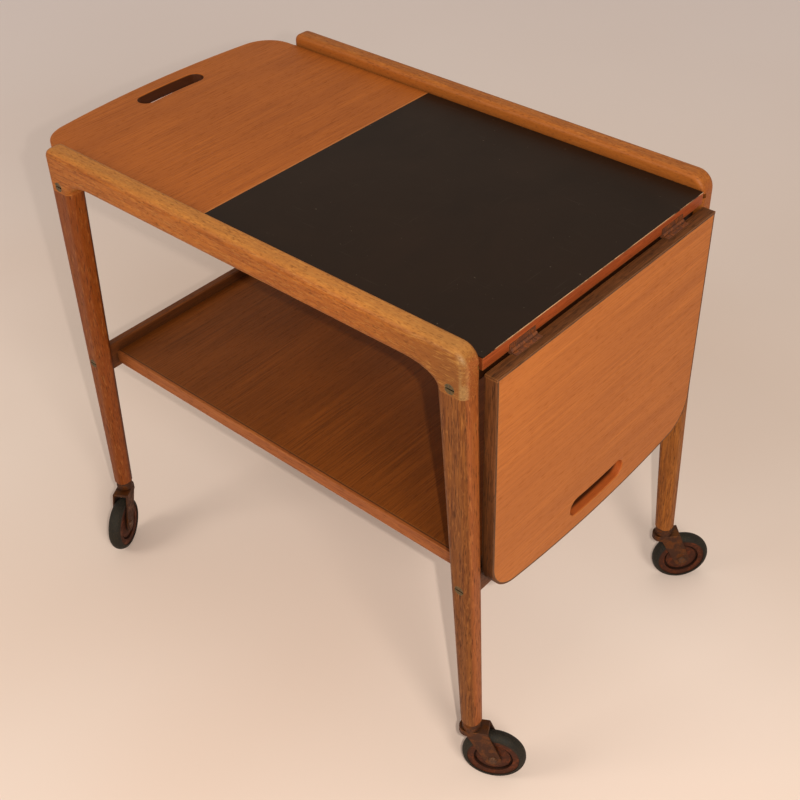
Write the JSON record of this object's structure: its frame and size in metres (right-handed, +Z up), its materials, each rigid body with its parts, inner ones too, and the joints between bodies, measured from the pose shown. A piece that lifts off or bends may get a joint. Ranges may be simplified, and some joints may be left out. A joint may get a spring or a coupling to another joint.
{
  "type": "drop leaf tea trolley",
  "caption": "Wooden tea trolley with a black laminate and veneer top between raised side rails, a bowed drop leaf at one end, a lower shelf, splayed legs and swivel casters.",
  "frame": {"origin": "on the floor, below the middle of the whole trolley", "axes": "+X along the trolley towards the end with the drop leaf, +Y across it towards the far side, +Z up"},
  "size_m": [0.7548, 0.5281, 0.628],
  "materials": {
    "rail_teak": "oiled, satin",
    "leg_teak": "oiled, satin",
    "cross_rail_teak": "oiled, satin",
    "shelf_veneer": "oiled veneer",
    "shelf_lipping_teak": "oiled",
    "panel_veneer": "oiled veneer, satin",
    "dark_lipping": "stained, satin",
    "panel_lipping_teak": "oiled",
    "black_laminate": "high pressure laminate, satin",
    "pale_strip": "lacquered",
    "aged_brass": "tarnished",
    "hinge_brass": "dull",
    "tyre_rubber": "aged rubber, dusty",
    "wheel_steel": "rust brown, pressed steel",
    "axle_steel": "dull, riveted",
    "fork_steel": "worn bronze finish with rust",
    "socket_steel": "dull"
  },
  "bodies": {
    "trolley_frame": {"caster_stems": "fork_steel", "frame_screws": "aged_brass", "hinge_flap_top_far": "hinge_brass", "hinge_flap_top_near": "hinge_brass", "hinge_pin_far": "hinge_brass", "hinge_pin_near": "hinge_brass", "hinge_screws_top": "hinge_brass", "leg_far_left": "leg_teak", "leg_far_right": "leg_teak", "leg_near_left": "leg_teak", "leg_near_right": "leg_teak", "leg_sockets": "socket_steel", "lower_cross_rail_left": "cross_rail_teak", "lower_cross_rail_right": "cross_rail_teak", "shelf_lipping_far": "shelf_lipping_teak", "shelf_lipping_near": "shelf_lipping_teak", "shelf_panel": "shelf_veneer", "side_rail_far": "rail_teak", "side_rail_near": "rail_teak", "top_board": "panel_veneer", "top_bow_lipping": "dark_lipping", "top_divider_strip": "pale_strip", "top_end_lipping": "panel_lipping_teak", "top_laminate": "black_laminate", "top_tongue_far": "panel_lipping_teak", "top_tongue_near": "panel_lipping_teak", "upper_cross_rail_left": "cross_rail_teak", "upper_cross_rail_right": "cross_rail_teak"},
    "leaf": {"hinge_flap_leaf_far": "hinge_brass", "hinge_flap_leaf_near": "hinge_brass", "hinge_screws_leaf": "hinge_brass", "leaf_bow_lipping": "dark_lipping", "leaf_hinge_lipping": "panel_lipping_teak", "leaf_panel": "panel_veneer"},
    "caster_near_left": {"caster_fork_near_left": "fork_steel", "caster_axle_near_left": "axle_steel"},
    "wheel_near_left": {"wheel_disc_near_left": "wheel_steel", "wheel_tyre_near_left": "tyre_rubber"},
    "caster_near_right": {"caster_fork_near_right": "fork_steel", "caster_axle_near_right": "axle_steel"},
    "wheel_near_right": {"wheel_disc_near_right": "wheel_steel", "wheel_tyre_near_right": "tyre_rubber"},
    "caster_far_left": {"caster_fork_far_left": "fork_steel", "caster_axle_far_left": "axle_steel"},
    "wheel_far_left": {"wheel_disc_far_left": "wheel_steel", "wheel_tyre_far_left": "tyre_rubber"},
    "caster_far_right": {"caster_fork_far_right": "fork_steel", "caster_axle_far_right": "axle_steel"},
    "wheel_far_right": {"wheel_disc_far_right": "wheel_steel", "wheel_tyre_far_right": "tyre_rubber"}
  },
  "joints": [
    {"name": "leaf_hinge", "type": "hinge", "parent": "trolley_frame", "child": "leaf", "pos_m": [0.3158, 0, 0.5963], "axis": [0, -1, 0], "range_deg": [0, 90]},
    {"name": "swivel_near_left", "type": "hinge", "parent": "trolley_frame", "child": "caster_near_left", "pos_m": [-0.3185, -0.206, 0.09], "axis": [0, 0, 1], "continuous": true},
    {"name": "roll_near_left", "type": "hinge", "parent": "caster_near_left", "child": "wheel_near_left", "pos_m": [-0.30475, -0.22982, 0.0382], "axis": [0.866, 0.5, 0], "continuous": true},
    {"name": "swivel_near_right", "type": "hinge", "parent": "trolley_frame", "child": "caster_near_right", "pos_m": [0.3185, -0.206, 0.09], "axis": [0, 0, 1], "continuous": true},
    {"name": "roll_near_right", "type": "hinge", "parent": "caster_near_right", "child": "wheel_near_right", "pos_m": [0.34232, -0.19225, 0.0382], "axis": [-0.5, 0.866, 0], "continuous": true},
    {"name": "swivel_far_left", "type": "hinge", "parent": "trolley_frame", "child": "caster_far_left", "pos_m": [-0.3185, 0.206, 0.09], "axis": [0, 0, 1], "continuous": true},
    {"name": "roll_far_left", "type": "hinge", "parent": "caster_far_left", "child": "wheel_far_left", "pos_m": [-0.33266, 0.22957, 0.0382], "axis": [-0.8572, -0.515, 0], "continuous": true},
    {"name": "swivel_far_right", "type": "hinge", "parent": "trolley_frame", "child": "caster_far_right", "pos_m": [0.3185, 0.206, 0.09], "axis": [0, 0, 1], "continuous": true},
    {"name": "roll_far_right", "type": "hinge", "parent": "caster_far_right", "child": "wheel_far_right", "pos_m": [0.33726, 0.22611, 0.0382], "axis": [-0.7314, 0.682, 0], "continuous": true}
  ]
}
